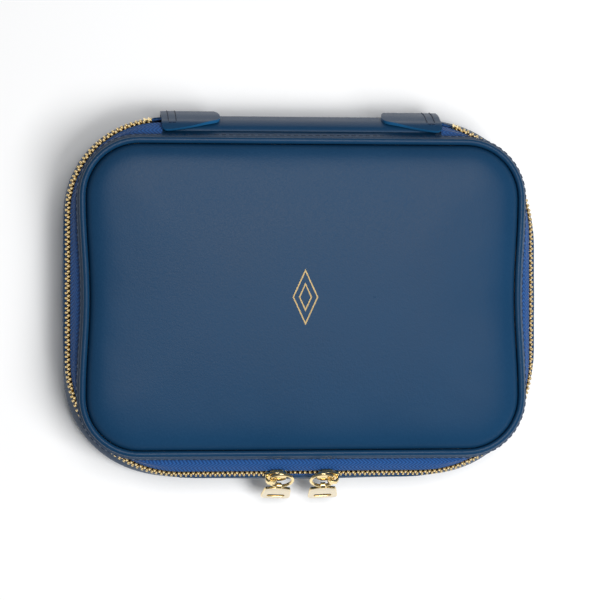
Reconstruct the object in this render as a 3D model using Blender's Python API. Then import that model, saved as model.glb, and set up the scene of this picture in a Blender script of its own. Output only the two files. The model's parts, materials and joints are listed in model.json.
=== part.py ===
"""A zip-around leather jewellery case, closed: a padded lid and a deep base joined by a leather
hinge at the back, two zip sliders at the front, a carrying strap on the back wall, and inside it
a lined tray with dividers and ring rolls. Metres, +Z up, +Y towards the hinge, and the origin in
the middle of the flat bottom."""

import math

import bmesh
import bpy
from mathutils import Matrix, Vector

# The lid's lower edge, seen from above
LID_HALF_LENGTH = 0.1154
LID_HALF_DEPTH = 0.0825
LID_CORNER = 0.0315
LID_WAIST = 0.0020  # how far the short sides of the lid draw in at the middle

# Heights
RIM_Z = 0.0216  # top of the base's leather wall
CHAIN_RISE = 0.0054  # from there to the middle of the zip chain
TAPE_RISE = 0.0050  # from the upper teeth to the lid's lower edge
CROWN_RISE = 0.0106  # from that edge to the top of the padded lid
FOOT_Z = 0.0046  # bottom edge of the leather wall

# How far the zip and the wall stand out past the lid's edge, and their rounder corners
ZIP_REACH_LENGTH = 0.0041
ZIP_REACH_DEPTH = 0.0077
ZIP_EXTRA_CORNER = 0.0255
WALL_BULGE_LENGTH = 0.0010
WALL_BULGE_DEPTH = 0.0008

# Stock
GAP = 0.0003  # clearance between pieces that touch
LEATHER = 0.0016
TAPE = 0.0009
BOARD = 0.0018
PADDING = 0.0030
PIPING_RADIUS = 0.0017

# Zip
CHAIN_TILT = math.radians(33)  # lean of the chain's face from upright
TOOTH_REACH = 0.0030  # from the middle of the chain to the root of a tooth
TOOTH_THICKNESS = 0.0024
CHAIN_CLEARANCE = 0.0007  # half of the space between the two rows of teeth
SLIDER_X = 0.0135
SLIDER_LENGTH = 0.0110
SLIDER_HALF_WIDTH = 0.0043
PLATE = 0.0014
WIRE_RADIUS = 0.00075
RING_DEPTH = 0.0112
RING_HALF_WIDTH = 0.0062
RING_BAR_HALF = 0.0042
RING_DROP = 0.0013  # how far the hanging ring has slipped down through its bridge
RING_BAR_OFFSET = 0.0025  # from the middle of the slider to the ring's bar, away from the nose
PULL_WIDTH = 0.0152
PULL_LENGTH = 0.0140
PULL_THICKNESS = 0.0015
PULL_LEAN = math.radians(12)  # how far the hanging pull falls back from its ring's plane
ZIP_END_X = 0.0796

# Back
GUSSET_HALF_LENGTH = 0.0722
STRAP_THICKNESS = 0.0026
STRAP_RISE = 0.0074  # from the wall's foot to the strap's lower edge
STRAP_TUCK = 0.0025  # from the strap's upper edge to the hinge
GRIP_HALF_LENGTH = 0.0280
TAB_INNER_X = 0.0420
TAB_TIP_LENGTH = 0.0100
HINGE_RADIUS = 0.0008

# Inside
DIVIDER_THICKNESS = 0.0025
DIVIDER_TOP_Z = 0.0215
LONG_DIVIDER_Y = 0.0050
FRONT_DIVIDER_X = -0.0340
BACK_DIVIDER_X = 0.0380
ROLL_RADIUS = 0.0070
ROLL_PITCH = 0.0155
ROLL_COUNT = 5
ROLL_LENGTH = 0.0520
NECKLACE_COUNT = 4
NECKLACE_PITCH = 0.0300
NECKLACE_FIRST_X = -0.0080
NECKLACE_WIDTH = 0.0110
NECKLACE_LENGTH = 0.0210
NECKLACE_THICKNESS = 0.0014
NECKLACE_Y = -0.0570
POCKET_HALF_LENGTH = 0.0800
POCKET_FRONT_Y = 0.0120
POCKET_BACK_Y = 0.0640

CORNER_STEPS = 6
SIDE_STEPS = 4
ROUND_STEPS = 8
STANDING = Matrix(((1, 0, 0, 0), (0, 0, 1, 0), (0, 1, 0, 0), (0, 0, 0, 1)))  # outlines in X and Z

CHAIN_Z = RIM_Z + CHAIN_RISE
LID_EDGE_Z = CHAIN_Z + TOOTH_REACH + TAPE_RISE
HINGE_Y = LID_HALF_DEPTH + 0.0025
HINGE_Z = LID_EDGE_Z - 0.0015
STRAP_LOW_Z = FOOT_Z + STRAP_RISE
STRAP_TOP_Z = HINGE_Z - STRAP_TUCK
ZIP_HALF_LENGTH = LID_HALF_LENGTH + ZIP_REACH_LENGTH
ZIP_HALF_DEPTH = LID_HALF_DEPTH + ZIP_REACH_DEPTH
ZIP_CORNER = LID_CORNER + ZIP_EXTRA_CORNER

# (height, half length, half depth, corner radius, bow of the short sides, bow of the front)
LEVELS = (
    (FOOT_Z, LID_HALF_LENGTH - 0.0017, LID_HALF_DEPTH + 0.0007, LID_CORNER + 0.0015, 0.0, 0.0),
    (RIM_Z, ZIP_HALF_LENGTH + 0.0021, ZIP_HALF_DEPTH + 0.0029, ZIP_CORNER + 0.0045,
     WALL_BULGE_LENGTH, WALL_BULGE_DEPTH),
    (CHAIN_Z - TOOTH_REACH, ZIP_HALF_LENGTH, ZIP_HALF_DEPTH, ZIP_CORNER, 0.0, 0.0),
    (CHAIN_Z + TOOTH_REACH, ZIP_HALF_LENGTH, ZIP_HALF_DEPTH, ZIP_CORNER, 0.0, 0.0),
    (LID_EDGE_Z, LID_HALF_LENGTH, LID_HALF_DEPTH, LID_CORNER, -LID_WAIST, 0.0),
)


def clear_scene():
    for thing in list(bpy.data.objects):
        bpy.data.objects.remove(thing, do_unlink=True)


def material(name, colour, roughness, metallic=0.0):
    made = bpy.data.materials.new(name)
    made.use_nodes = True
    shader = made.node_tree.nodes["Principled BSDF"]
    shader.inputs["Base Color"].default_value = (*colour, 1.0)
    shader.inputs["Roughness"].default_value = roughness
    shader.inputs["Metallic"].default_value = metallic
    return made


def new_object(name, mesh_source, finish, parent=None):
    """The object of a finished bmesh. Its points are given in the parent's frame."""
    bmesh.ops.recalc_face_normals(mesh_source, faces=mesh_source.faces)
    mesh = bpy.data.meshes.new(name)
    mesh_source.to_mesh(mesh)
    mesh_source.free()
    mesh.materials.append(finish)
    thing = bpy.data.objects.new(name, mesh)
    thing.parent = parent
    bpy.context.scene.collection.objects.link(thing)
    return thing


def frame(name, matrix, parent=None):
    """An empty that other pieces are built on, at a matrix in its parent's frame."""
    empty = bpy.data.objects.new(name, None)
    empty.parent = parent
    empty.matrix_local = matrix
    bpy.context.scene.collection.objects.link(empty)
    return empty


def loft(name, finish, loops, closed=False, parent=None):
    """Skins loops of equal counts, joined first to last where closed, or capped at both ends."""
    made = bmesh.new()
    rows = [[made.verts.new(point) for point in loop] for loop in loops]
    pairs = list(zip(rows, rows[1:] + rows[:1])) if closed else list(zip(rows, rows[1:]))
    for low, high in pairs:
        for here in range(len(low)):
            after = (here + 1) % len(low)
            made.faces.new((low[here], low[after], high[after], high[here]))
    if not closed:
        made.faces.new(rows[0][::-1])
        made.faces.new(rows[-1])
    return new_object(name, made, finish, parent)


def prism(name, finish, outline, start, end, axes=Matrix.Identity(4), parent=None):
    """A flat outline in the first two axes of a matrix, extruded along its third."""
    loops = [[axes @ Vector((a, b, level)) for a, b in outline] for level in (start, end)]
    return loft(name, finish, loops, parent=parent)


def tube(name, finish, path, radius, steps, parent=None):
    """A round wire along a closed flat path in the XY plane of its parent."""
    loops = []
    for here, point in enumerate(path):
        along = (path[(here + 1) % len(path)] - path[here - 1]).normalized()
        across = Vector((-along.y, along.x, 0.0))
        turns = [math.tau * step / steps for step in range(steps)]
        loops.append([point + radius * (across * math.cos(turn) + Vector((0, 0, math.sin(turn))))
                      for turn in turns])
    return smooth(loft(name, finish, loops, closed=True, parent=parent))


def smooth(thing, angle=50):
    thing.data.shade_smooth()
    thing.data.set_sharp_from_angle(angle=math.radians(angle))
    return thing


def helper(thing):
    thing.hide_render = True
    thing.display_type = "WIRE"
    return thing


def boolean(thing, other, operation):
    made = thing.modifiers.new(operation.lower(), "BOOLEAN")
    made.object = other
    made.operation = operation
    made.solver = "EXACT"


def blend(low, high, share):
    return low + (high - low) * share


def level_at(z):
    """The reference outline at a height: half length, half depth, corner, two bows."""
    if z <= LEVELS[0][0]:
        return LEVELS[0][1:]
    for low, high in zip(LEVELS, LEVELS[1:]):
        if z <= high[0]:
            share = (z - low[0]) / (high[0] - low[0])
            return tuple(blend(a, b, share) for a, b in zip(low[1:], high[1:]))
    return LEVELS[-1][1:]


def outline_at(reach, z):
    """The case's rounded outline at a height, with its long sides reach beyond the lid's."""
    half_length, half_depth, corner, bow_length, bow_depth = level_at(z)
    grow = LID_HALF_DEPTH + reach - half_depth
    half_length += grow
    half_depth += grow
    corner = max(corner + grow, 0.004)
    points = []
    corners = ((1, 1, 0.0), (-1, 1, 90.0), (-1, -1, 180.0), (1, -1, 270.0))
    for sign_x, sign_y, first in corners:
        centre = Vector((sign_x * (half_length - corner), sign_y * (half_depth - corner), z))
        for step in range(CORNER_STEPS + 1):
            turn = math.radians(first + 90.0 * step / CORNER_STEPS)
            points.append(centre + corner * Vector((math.cos(turn), math.sin(turn), 0.0)))
        for step in range(1, SIDE_STEPS):
            share = 2.0 * step / SIDE_STEPS - 1.0
            bow = math.cos(0.5 * math.pi * share) ** 2
            if sign_x == sign_y:
                along = -sign_x * share * (half_length - corner)
                bulge = bow_depth * bow if sign_y < 0 else 0.0
                points.append(Vector((along, sign_y * (half_depth + bulge), z)))
            else:
                along = sign_x * share * (half_depth - corner)
                points.append(Vector((sign_x * (half_length + bow_length * bow), along, z)))
    return points


def ring(name, finish, profile):
    """A band round the case: a closed cross-section of (reach, height) points."""
    return smooth(loft(name, finish, [outline_at(*point) for point in profile], closed=True), 35)


def panel(name, finish, profile):
    """A plate or dish: (reach, height) points from one flat middle, round its edge, to the other."""
    return smooth(loft(name, finish, [outline_at(*point) for point in profile]), 35)


def round_section(reach, z, radius):
    turns = [math.tau * step / ROUND_STEPS for step in range(ROUND_STEPS)]
    return [(reach + radius * math.cos(turn), z + radius * math.sin(turn)) for turn in turns]


def chain_point(up, out, middle_reach=ZIP_REACH_DEPTH):
    """(reach, height) of a point of the leaning chain: up along its face, and out from it."""
    reach = middle_reach - up * math.sin(CHAIN_TILT) + out * math.cos(CHAIN_TILT)
    return reach, CHAIN_Z + up * math.cos(CHAIN_TILT) + out * math.sin(CHAIN_TILT)


def offset_line(line, distance):
    """An open line of (reach, height) points moved sideways, to its right as it runs."""
    moved = []
    for here, (reach, z) in enumerate(line):
        before = line[max(here - 1, 0)]
        after = line[min(here + 1, len(line) - 1)]
        along = Vector((after[0] - before[0], after[1] - before[1])).normalized()
        moved.append((reach + distance * along.y, z - distance * along.x))
    return moved


def band(line, outward, inward):
    """The closed cross-section between two offsets of a line that runs upwards."""
    return offset_line(line, outward) + offset_line(line, inward)[::-1]


def wall_line():
    """The base wall's outer face, from its foot to its rim."""
    height = RIM_Z - FOOT_Z
    rim = ZIP_REACH_DEPTH + 0.0032
    return [(0.0027, FOOT_Z), (rim - 0.0011, FOOT_Z + 0.38 * height),
            (rim - 0.0002, FOOT_Z + 0.76 * height), (rim, RIM_Z)]


def lining_line():
    """The tray's outer face: just inside the boards of the walls and of the back."""
    height = RIM_Z - FOOT_Z
    return [(0.0001, FOOT_Z + GAP), (0.0024, FOOT_Z + 0.318 * height), (0.0029, FOOT_Z + 0.524 * height),
            (0.0023, FOOT_Z + 0.965 * height), (0.0013, CHAIN_Z - 0.0028)]


def back_line():
    """The back wall's outer face, from its foot to just under the hinge."""
    height = HINGE_Z - HINGE_RADIUS - GAP - FOOT_Z
    return [(0.0027, FOOT_Z), (0.0062, FOOT_Z + 0.16 * height), (0.0070, FOOT_Z + 0.32 * height),
            (0.0061, FOOT_Z + 0.60 * height), (0.0042, FOOT_Z + 0.88 * height),
            (0.0032, FOOT_Z + height)]


def back_reach(z):
    """How far the back wall's outer face stands beyond the lid at a height."""
    line = back_line()
    for low, high in zip(line, line[1:]):
        if z <= high[1]:
            return blend(low[0], high[0], (z - low[1]) / (high[1] - low[1]))
    return line[-1][0]


def back_sheet(name, finish, start_x, end_x, section, parent=None):
    """A sheet along the back wall between two ends, from a closed (reach, height) section."""
    loops = [[Vector((x, LID_HALF_DEPTH + reach, z)) for reach, z in section]
             for x in (start_x, end_x)]
    return smooth(loft(name, finish, loops, parent=parent), 35)


def chain_frame(x, name):
    """A frame on the front chain: X along it, Y up its face, Z out of it."""
    up = Vector((0.0, math.sin(CHAIN_TILT), math.cos(CHAIN_TILT)))
    out = Vector((0.0, -math.cos(CHAIN_TILT), math.sin(CHAIN_TILT)))
    turn = Matrix((Vector((1.0, 0.0, 0.0)), up, out)).transposed().to_4x4()
    return frame(name, Matrix.Translation((x, -ZIP_HALF_DEPTH, CHAIN_Z)) @ turn)


def cut_box(name, half_length, low_y):
    made = bmesh.new()
    bmesh.ops.create_cube(made, size=1.0)
    bmesh.ops.scale(made, verts=made.verts, vec=(2 * half_length, 0.08, 0.12))
    bmesh.ops.translate(made, verts=made.verts, vec=(0.0, low_y + 0.04, 0.03))
    return helper(new_object(name, made, LEATHER_DARK))


clear_scene()

LEATHER_BLUE = material("navy_leather", (0.045, 0.100, 0.185), 0.42)
LEATHER_DARK = material("navy_leather_edge", (0.012, 0.040, 0.090), 0.50)
TAPE_BLUE = material("blue_tape", (0.020, 0.110, 0.330), 0.80)
GOLD = material("polished_gold", (0.90, 0.66, 0.30), 0.18, 1.0)
GOLD_SATIN = material("satin_gold", (0.86, 0.72, 0.46), 0.45, 1.0)
SUEDE = material("sand_suede", (0.560, 0.470, 0.370), 0.95)
CARD = material("grey_board", (0.300, 0.290, 0.270), 0.90)
FOAM = material("white_foam", (0.800, 0.790, 0.740), 0.95)
ELASTIC = material("sand_elastic", (0.480, 0.390, 0.300), 0.85)

gusset_cut = cut_box("gusset_cut", GUSSET_HALF_LENGTH + GAP, HINGE_Y - 0.02)
teeth_cut = cut_box("teeth_cut", ZIP_END_X, HINGE_Y - 0.02)


def base_shell():
    panel("bottom_panel", LEATHER_BLUE, [(-0.0001, 0.0), (0.0005, 0.0006), (0.0005, LEATHER + 0.0002)])
    board_z = LEATHER + 0.0002 + GAP
    panel("bottom_board", CARD, [(-0.0005, board_z), (-0.0005, board_z + BOARD + 0.0002)])
    ring("bottom_piping", LEATHER_BLUE, round_section(0.0027, 0.0025, PIPING_RADIUS))

    wall = ring("side_wall", LEATHER_BLUE, band(wall_line(), 0.0, -(LEATHER - 0.0003)))
    boolean(wall, gusset_cut, "DIFFERENCE")

    height = RIM_Z - FOOT_Z
    stiffener = [(0.0058 - LEATHER, FOOT_Z + 0.20 * height), (0.0086 - LEATHER, FOOT_Z + 0.424 * height),
                 (0.0098 - LEATHER, FOOT_Z + 0.659 * height), (0.0090 - LEATHER, FOOT_Z + 0.847 * height),
                 (0.0074 - LEATHER, RIM_Z + 0.0004)]
    board = ring("wall_board", CARD, band(stiffener, 0.0, -BOARD))
    boolean(board, gusset_cut, "DIFFERENCE")


def back_wall():
    back_sheet("back_panel", LEATHER_BLUE, -GUSSET_HALF_LENGTH, GUSSET_HALF_LENGTH,
               band(back_line(), 0.0, -LEATHER))
    inner = offset_line(back_line(), -(LEATHER + GAP))[1:-1]
    back_sheet("back_board", CARD, -GUSSET_HALF_LENGTH, GUSSET_HALF_LENGTH,
               band(inner, 0.0, -(BOARD - 0.0003)))
    reach = HINGE_Y - LID_HALF_DEPTH
    back_sheet("hinge_strip", LEATHER_BLUE, -GUSSET_HALF_LENGTH, GUSSET_HALF_LENGTH,
               round_section(reach, HINGE_Z, HINGE_RADIUS))


def zip_chain():
    half_thick = TOOTH_THICKNESS / 2
    edges = ((CHAIN_CLEARANCE, TOOTH_REACH), (-TOOTH_REACH, -CHAIN_CLEARANCE))
    for name, (low, high) in zip(("upper_zip_teeth", "lower_zip_teeth"), edges):
        corners = ((low, half_thick), (high, half_thick), (high, -half_thick), (low, -half_thick))
        teeth = ring(name, GOLD, [chain_point(*corner) for corner in corners])
        boolean(teeth, teeth_cut, "DIFFERENCE")

    start = TOOTH_REACH + GAP
    upper = [chain_point(start, 0.0), (-0.0002, LID_EDGE_Z - LEATHER - 0.0010),
             (-LEATHER - 0.0002, LID_EDGE_Z - LEATHER - 0.0002), (-LEATHER - 0.0016, LID_EDGE_Z + 0.0008)]
    lower = [chain_point(-start - 0.0020, 0.0), chain_point(-start, 0.0)]
    for name, line in (("upper_zip_tape", upper), ("lower_zip_tape", lower)):
        tape = ring(name, TAPE_BLUE, band(line, TAPE / 2, -TAPE / 2))
        boolean(tape, gusset_cut, "DIFFERENCE")

    straight = ZIP_HALF_LENGTH - ZIP_CORNER
    stop_x = ZIP_END_X - 0.0017
    turn = math.asin((stop_x - straight) / ZIP_CORNER)
    stop_y = ZIP_HALF_DEPTH - ZIP_CORNER * (1 - math.cos(turn))
    legs = ((-TOOTH_REACH, -0.0014), (-CHAIN_CLEARANCE, -0.0014), (-CHAIN_CLEARANCE, 0.0014),
            (-TOOTH_REACH, 0.0014))
    for name, side in (("zip_stop_left", -1), ("zip_stop_right", 1)):
        spot = frame(name + "_place", Matrix.Translation((side * stop_x, stop_y, CHAIN_Z))
                     @ Matrix.Rotation(-side * turn, 4, "Z"))
        loops = []
        for along in (-0.0009, 0.0009):
            points = [chain_point(up, out, 0.0) for up, out in legs]
            loops.append([Vector((along, reach, z - CHAIN_Z)) for reach, z in points])
        loft(name, GOLD, loops, parent=spot)


def lid_shell():
    groove = -0.0048
    middle = -LID_HALF_DEPTH + 0.0150
    top = LID_EDGE_Z + CROWN_RISE
    crown = [(groove, 0.31), (groove - 0.0007, 0.47), (groove - 0.0030, 0.64), (groove - 0.0080, 0.79),
             (groove - 0.0190, 0.90), (0.45 * (groove + middle), 0.97), (middle, 1.0)]
    outer = [(reach, LID_EDGE_Z + share * CROWN_RISE) for reach, share in crown]
    inner = [(reach - 0.6 * LEATHER, z - LEATHER) for reach, z in outer[1:]]
    rim = (groove - LEATHER, outer[0][1])
    panel("top_panel", LEATHER_BLUE, inner[::-1] + [rim] + outer)

    board_low = LID_EDGE_Z + GAP
    board_top = board_low + BOARD
    panel("top_board", CARD, [(-0.0051, board_low), (-0.0051, board_top)])
    foam = [(reach - 0.0006, z - GAP) for reach, z in inner]
    foam_foot = (foam[0][0], board_top + GAP)
    panel("top_foam", FOAM, [foam_foot] + foam)

    ring("lid_piping", LEATHER_BLUE, round_section(-0.0027, LID_EDGE_Z + 0.0038, PIPING_RADIUS))
    binding = [(0.0005, LID_EDGE_Z - 0.0008), (-0.0012, LID_EDGE_Z + 0.0026)]
    ring("lid_binding", LEATHER_BLUE, band(binding, 0.0, -(LEATHER - 0.0002)))


def lid_inside():
    ceiling = LID_EDGE_Z - 0.0020
    lip_z = LID_EDGE_Z - 0.0055
    side = -LEATHER - 0.0028
    panel("lid_lining", SUEDE, [(side, LID_EDGE_Z), (side, lip_z + 0.0006), (side - 0.0008, lip_z),
                                (side - 0.0016, lip_z + 0.0006), (side - 0.0016, ceiling)])

    pocket_z = ceiling - GAP
    wall = 0.0020
    length = POCKET_HALF_LENGTH
    border = ((-length, POCKET_FRONT_Y), (-length + 0.004, POCKET_FRONT_Y),
              (-length + 0.004, POCKET_BACK_Y - 0.004), (length - 0.004, POCKET_BACK_Y - 0.004),
              (length - 0.004, POCKET_FRONT_Y), (length, POCKET_FRONT_Y),
              (length, POCKET_BACK_Y), (-length, POCKET_BACK_Y))
    prism("pocket_trim", SUEDE, border, pocket_z - wall, pocket_z)
    sheet_top = pocket_z - wall - GAP
    sheet = ((-length, POCKET_FRONT_Y), (length, POCKET_FRONT_Y), (length, POCKET_BACK_Y),
             (-length, POCKET_BACK_Y))
    prism("lid_pocket", SUEDE, sheet, sheet_top - 0.0014, sheet_top)
    edge = ((-length, POCKET_FRONT_Y - 0.0043), (length, POCKET_FRONT_Y - 0.0043),
            (length, POCKET_FRONT_Y - GAP), (-length, POCKET_FRONT_Y - GAP))
    prism("pocket_elastic", ELASTIC, edge, sheet_top - 0.0016, sheet_top + 0.0004)

    pivot_z = ceiling - GAP - NECKLACE_THICKNESS / 2
    first = NECKLACE_FIRST_X - NECKLACE_WIDTH
    last = NECKLACE_FIRST_X + (NECKLACE_COUNT - 1) * NECKLACE_PITCH + NECKLACE_WIDTH
    strip = ((first, NECKLACE_Y - 0.0090), (last, NECKLACE_Y - 0.0090),
             (last, NECKLACE_Y - 0.0010), (first, NECKLACE_Y - 0.0010))
    prism("necklace_bar", LEATHER_BLUE, strip, pivot_z - 0.0009, ceiling - GAP)
    for number in range(NECKLACE_COUNT):
        x = NECKLACE_FIRST_X + number * NECKLACE_PITCH
        necklace_tab(number + 1, Vector((x, NECKLACE_Y, pivot_z)))


def necklace_tab(number, pivot):
    """A snap tab that hinges at its sewn end, drawn from its pivot towards its free end."""
    spot = frame(f"necklace_hinge_{number}", Matrix.Translation(pivot))
    half = NECKLACE_WIDTH / 2
    tip = [(half * math.cos(turn), NECKLACE_LENGTH - half + half * math.sin(turn))
           for turn in (math.pi * step / 6 for step in range(7))]
    thick = NECKLACE_THICKNESS / 2
    prism(f"necklace_tab_{number}", LEATHER_BLUE, [(-half, -0.0005), (half, -0.0005)] + tip,
          -thick, thick, parent=spot)
    snap = Matrix.Translation((0.0, NECKLACE_LENGTH - half, 0.0))
    circle = [(math.cos(turn), math.sin(turn)) for turn in (math.tau * step / 12 for step in range(12))]
    cap = [(0.0040 * a, 0.0040 * b) for a, b in circle]
    prism(f"snap_cap_{number}", GOLD, cap, -thick - GAP - 0.0011, -thick - GAP, snap, spot)


def inside():
    line = lining_line()
    floor_z = line[0][1] + PADDING
    wall = offset_line(line, -PADDING)
    foot = (wall[1][0] - 0.0012, floor_z)
    panel("base_lining", SUEDE, line + wall[:1:-1] + [foot])

    low = floor_z + GAP
    half_depth = LID_HALF_DEPTH + foot[0] - GAP
    half_length = level_at(floor_z)[0] + (half_depth - level_at(floor_z)[1])
    thick = DIVIDER_THICKNESS / 2

    def wall_box(name, x_range, y_range):
        corners = [(x_range[0], y_range[0]), (x_range[1], y_range[0]), (x_range[1], y_range[1]),
                   (x_range[0], y_range[1])]
        prism(name, SUEDE, corners, low, DIVIDER_TOP_Z)

    wall_box("divider_long", (-half_length, half_length), (LONG_DIVIDER_Y - thick, LONG_DIVIDER_Y + thick))
    wall_box("divider_front", (FRONT_DIVIDER_X - thick, FRONT_DIVIDER_X + thick),
             (-half_depth, LONG_DIVIDER_Y - thick - GAP))
    wall_box("divider_back", (BACK_DIVIDER_X - thick, BACK_DIVIDER_X + thick),
             (LONG_DIVIDER_Y + thick + GAP, half_depth))

    last_y = LONG_DIVIDER_Y - thick - 0.0023 - ROLL_RADIUS
    roll_end = FRONT_DIVIDER_X - thick - 0.0017
    for number in range(ROLL_COUNT):
        middle = (last_y - (ROLL_COUNT - 1 - number) * ROLL_PITCH, low + ROLL_RADIUS)
        turns = [math.tau * (step + 0.5) / 14 for step in range(14)]
        loops = [[Vector((x, middle[0] + ROLL_RADIUS * math.cos(turn),
                          max(middle[1] + ROLL_RADIUS * math.sin(turn), low))) for turn in turns]
                 for x in (roll_end - ROLL_LENGTH, roll_end)]
        smooth(loft(f"ring_roll_{number + 1}", SUEDE, loops))


def handle():
    bends = [z for _, z in back_line() if STRAP_LOW_Z + 0.001 < z < STRAP_TOP_Z - 0.001]
    heights = [STRAP_LOW_Z, *bends, STRAP_TOP_Z]
    strap = [(back_reach(z) + GAP, z) for z in heights]
    section = [(reach + STRAP_THICKNESS, z) for reach, z in strap] + strap[::-1]
    back_sheet("handle_grip", LEATHER_BLUE, -GRIP_HALF_LENGTH, GRIP_HALF_LENGTH, section)

    over = STRAP_THICKNESS + 2 * GAP
    slack = 0.0003
    tab_line = [(back_reach(STRAP_LOW_Z - 0.0024) + GAP, STRAP_LOW_Z - 0.0024),
                (back_reach(STRAP_LOW_Z) + over, STRAP_LOW_Z - slack)]
    tab_line += [(reach - GAP + over, z) for reach, z in strap[1:-1]]
    tab_line += [(back_reach(STRAP_TOP_Z) + over, STRAP_TOP_Z + slack),
                 (HINGE_Y - LID_HALF_DEPTH + HINGE_RADIUS + GAP, STRAP_TOP_Z + 0.0016)]
    tab_section = band(tab_line, LEATHER, 0.0)
    low_z = tab_line[0][1] - 0.0015
    high_z = tab_line[-1][1] + 0.0016
    tip_z = (low_z + high_z) / 2
    half = (high_z - low_z) / 2
    for name, side in (("left", -1), ("right", 1)):
        ends = sorted((side * (GRIP_HALF_LENGTH + GAP), side * (GUSSET_HALF_LENGTH - 0.002)))
        back_sheet(f"handle_end_{name}", LEATHER_BLUE, *ends, section)
        outer = side * GUSSET_HALF_LENGTH
        tip = side * TAB_INNER_X
        ends = sorted((outer, tip))
        tab = back_sheet(f"tab_{name}", LEATHER_BLUE, *ends, tab_section)
        shoulder = TAB_INNER_X + TAB_TIP_LENGTH
        bullet = [(side * (shoulder - (TAB_TIP_LENGTH - 0.0004) * math.sin(turn)),
                   tip_z + half * math.cos(turn))
                  for turn in (math.pi * step / 10 for step in range(11))]
        bullet += [(outer + side * 0.002, low_z), (outer + side * 0.002, high_z)]
        cutter = prism(f"tab_{name}_outline", LEATHER_DARK, bullet, LID_HALF_DEPTH - 0.01,
                       LID_HALF_DEPTH + 0.03, STANDING)
        boolean(tab, helper(cutter), "INTERSECT")


def ring_path(side):
    """The pull ring's centre line: a short bar, two spreading arms and a round end."""
    wide = RING_HALF_WIDTH
    bar = RING_BAR_HALF
    drop = -RING_DROP
    arc_x = RING_DEPTH - wide
    path = [Vector((0.0, drop - 0.5 * bar, 0.0)), Vector((0.0, drop + 0.5 * bar, 0.0)),
            Vector((0.0003, drop + 0.92 * bar, 0.0)), Vector((0.0012, drop + 1.10 * bar, 0.0))]
    for step in range(11):
        turn = math.radians(105 - 210 * step / 10)
        path.append(Vector((arc_x + wide * math.cos(turn), drop + wide * math.sin(turn), 0.0)))
    path += [Vector((0.0012, drop - 1.10 * bar, 0.0)), Vector((0.0003, drop - 0.92 * bar, 0.0))]
    return [Vector((side * point.x, point.y, 0.0)) for point in path]


def slider(name, side):
    """One slider with its bridge, ring and pull. side is -1 for the left one, whose nose is at +X."""
    nose = -side
    body = chain_frame(side * SLIDER_X, f"slider_{name}_place")
    half = SLIDER_LENGTH / 2
    wide = SLIDER_HALF_WIDTH
    low = TOOTH_THICKNESS / 2 + GAP

    def plate(width):
        shape = [(-half, 0.68 * width), (-half, -0.68 * width), (0.0, -width), (0.7 * half, -width),
                 (half, -0.7 * width), (half, 0.7 * width), (0.7 * half, width), (0.0, width)]
        return [(nose * a, b) for a, b in shape]

    front = prism(f"slider_{name}", GOLD, plate(wide), low, low + PLATE, parent=body)
    back = helper(prism(f"slider_{name}_back", GOLD, plate(wide - 0.0005), -low - PLATE, -low, parent=body))
    post_half = CHAIN_CLEARANCE - GAP
    post = [(nose * (0.3 * half), -post_half), (nose * (0.8 * half), -post_half),
            (nose * (0.8 * half), post_half), (nose * (0.3 * half), post_half)]
    post = helper(prism(f"slider_{name}_post", GOLD, post, -low - 0.5 * PLATE, low + 0.5 * PLATE, parent=body))
    boolean(front, back, "UNION")
    boolean(front, post, "UNION")

    bar_x = side * RING_BAR_OFFSET
    face = low + PLATE + GAP
    hole = WIRE_RADIUS + 0.00085
    foot = hole + 0.0012
    top = face + 2 * WIRE_RADIUS + 0.0005
    crown = top + 0.0012
    arch = [(-foot, face), (-foot, top), (-foot + 0.0010, crown), (foot - 0.0010, crown), (foot, top),
            (foot, face), (hole, face), (hole, top - 0.0007), (hole - 0.0006, top),
            (-hole + 0.0006, top), (-hole, top - 0.0007), (-hole, face)]
    arch = [(bar_x + a, b) for a, b in arch]
    prism(f"bridge_{name}", GOLD, arch, -0.0013, 0.0013, STANDING, body)

    centre = face + WIRE_RADIUS
    pivot = frame(f"ring_{name}_pivot", Matrix.Translation((bar_x, 0.0, centre)), body)
    path = ring_path(nose)
    tube(f"ring_{name}", GOLD, path, WIRE_RADIUS, ROUND_STEPS, pivot)
    pull(name, nose, path, pivot)


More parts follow.
